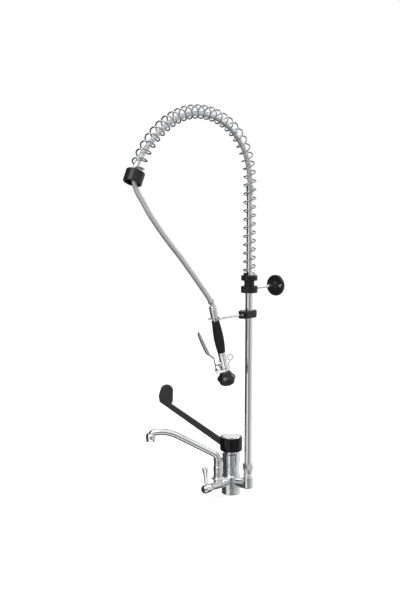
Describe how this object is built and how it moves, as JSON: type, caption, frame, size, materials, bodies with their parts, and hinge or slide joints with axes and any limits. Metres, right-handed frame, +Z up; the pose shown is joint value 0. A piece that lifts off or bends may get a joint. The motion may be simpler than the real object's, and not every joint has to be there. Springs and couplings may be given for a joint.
{
  "type": "pre rinse faucet",
  "caption": "Deck mounted pre rinse faucet: elbow lever mixer, swinging spout, side tap, riser with a wall bracket, sprung hose arch and a hook-hung spray gun with a trigger.",
  "frame": {"origin": "centre of the foot's underside, on the counter", "axes": "+Z up; -Y towards the sink, the way the front arm, the hook and the arch point; +X towards the riser, +Y towards the wall"},
  "size_m": [0.2584, 0.6079, 1.1214],
  "materials": {
    "deck_gasket": "matte",
    "mixer_base": "polished",
    "mixer_body": "polished",
    "cartridge_collar": "polished",
    "cartridge": "satin",
    "cartridge_nut": "polished",
    "spout_coupling": "polished",
    "spout_nut": "polished",
    "tap_headwork": "polished",
    "riser_coupling": "polished",
    "riser_nut": "polished",
    "riser_oring": "matte",
    "riser_column": "polished",
    "hook_clamp": "satin powder coat",
    "hook_clamp_screws": "satin",
    "hook_rod": "polished",
    "hook_fork": "polished",
    "wall_clamp": "satin powder coat",
    "wall_clamp_screws": "satin",
    "spring_holder": "satin powder coat",
    "inner_riser": "polished",
    "riser_ferrule": "satin",
    "spring": "polished",
    "spring_end_collar": "satin powder coat",
    "hose": "woven sleeve",
    "hose_ferrule": "satin",
    "cartridge_rotor": "moulded",
    "stem_pin": "satin",
    "cartridge_stem": "turned",
    "mixer_hub": "glossy",
    "hub_disc": "polished",
    "hub_grub_screw": "satin",
    "elbow_lever": "satin powder coat",
    "spout_seals": "matte",
    "spout_tube": "polished",
    "aerator_housing": "polished",
    "aerator_insert": "moulded",
    "tap_spindle": "turned",
    "tap_hub": "polished",
    "tap_cap": "polished",
    "tap_lever": "polished",
    "wall_rod": "polished",
    "wall_flange": "satin powder coat",
    "gun_nut": "polished",
    "gun_tube": "polished",
    "gun_washer": "matte",
    "gun_grip": "satin",
    "valve_body": "polished",
    "trigger_pin": "satin",
    "hanging_loop": "polished",
    "head_bell": "glossy",
    "head_bumper": "matte",
    "spray_face": "satin",
    "trigger": "polished",
    "valve_plunger": "satin"
  },
  "bodies": {
    "fixed": {"deck_gasket": "deck_gasket", "mixer_base": "mixer_base", "mixer_body": "mixer_body", "cartridge_collar": "cartridge_collar", "cartridge": "cartridge", "cartridge_nut": "cartridge_nut", "spout_coupling": "spout_coupling", "spout_nut": "spout_nut", "tap_headwork": "tap_headwork", "riser_coupling": "riser_coupling", "riser_nut": "riser_nut", "riser_oring": "riser_oring", "riser_column": "riser_column", "hook_clamp": "hook_clamp", "hook_clamp_screws": "hook_clamp_screws", "hook_rod": "hook_rod", "hook_fork": "hook_fork", "wall_clamp": "wall_clamp", "wall_clamp_screws": "wall_clamp_screws", "spring_holder": "spring_holder", "inner_riser": "inner_riser", "riser_ferrule": "riser_ferrule", "spring": "spring", "spring_end_collar": "spring_end_collar", "hose": "hose", "hose_ferrule": "hose_ferrule"},
    "mixer_core": {"cartridge_rotor": "cartridge_rotor", "stem_pin": "stem_pin"},
    "mixer_handle": {"cartridge_stem": "cartridge_stem", "mixer_hub": "mixer_hub", "hub_disc": "hub_disc", "hub_grub_screw": "hub_grub_screw", "elbow_lever": "elbow_lever"},
    "spout": {"spout_seals": "spout_seals", "spout_tube": "spout_tube", "aerator_housing": "aerator_housing", "aerator_insert": "aerator_insert"},
    "tap": {"tap_spindle": "tap_spindle", "tap_hub": "tap_hub", "tap_cap": "tap_cap", "tap_lever": "tap_lever"},
    "wall_bracket": {"wall_rod": "wall_rod", "wall_flange": "wall_flange"},
    "gun": {"gun_nut": "gun_nut", "gun_tube": "gun_tube", "gun_washer": "gun_washer", "gun_grip": "gun_grip", "valve_body": "valve_body", "trigger_pin": "trigger_pin", "hanging_loop": "hanging_loop", "head_bell": "head_bell", "head_bumper": "head_bumper", "spray_face": "spray_face"},
    "trigger": {"trigger": "trigger"},
    "plunger": {"valve_plunger": "valve_plunger"}
  },
  "joints": [
    {"name": "mixer_swivel", "type": "hinge", "parent": "fixed", "child": "mixer_core", "pos_m": [0, 0, 0.12], "axis": [0, 0, 1], "range_deg": [-45, 45]},
    {"name": "lever_lift", "type": "hinge", "parent": "mixer_core", "child": "mixer_handle", "pos_m": [0, 0, 0.142], "axis": [-0.6691, 0.7431, 0], "range_deg": [0, 18]},
    {"name": "spout_swivel", "type": "hinge", "parent": "fixed", "child": "spout", "pos_m": [0, -0.06, 0.066], "axis": [0, 0, 1], "range_deg": [-58, 140]},
    {"name": "tap_turn", "type": "hinge", "parent": "fixed", "child": "tap", "pos_m": [0, -0.11, 0.04], "axis": [0, -1, 0], "range_deg": [0, 90]},
    {"name": "wall_rod_slide", "type": "slide", "parent": "fixed", "child": "wall_bracket", "axis": [0, 1, 0], "range_m": [-0.003, 0.009]},
    {"name": "gun_swivel", "type": "hinge", "parent": "fixed", "child": "gun", "pos_m": [0.065, -0.16, 0.585], "axis": [0, -0.2756, 0.9613], "continuous": true},
    {"name": "trigger_squeeze", "type": "hinge", "parent": "gun", "child": "trigger", "pos_m": [0.04716, -0.12224, 0.39505], "axis": [-0.6691, 0.7144, 0.2048], "range_deg": [0, 14], "stiffness_Nm_per_rad": 0.6, "springref_deg": -20.05},
    {"name": "plunger_push", "type": "slide", "parent": "gun", "child": "plunger", "axis": [0.7431, 0.6432, 0.1844], "range_m": [0, 0.0049]}
  ],
  "couplings": [
    {"joint": "plunger_push", "follows": "trigger_squeeze", "m_per_rad": 0.02}
  ]
}
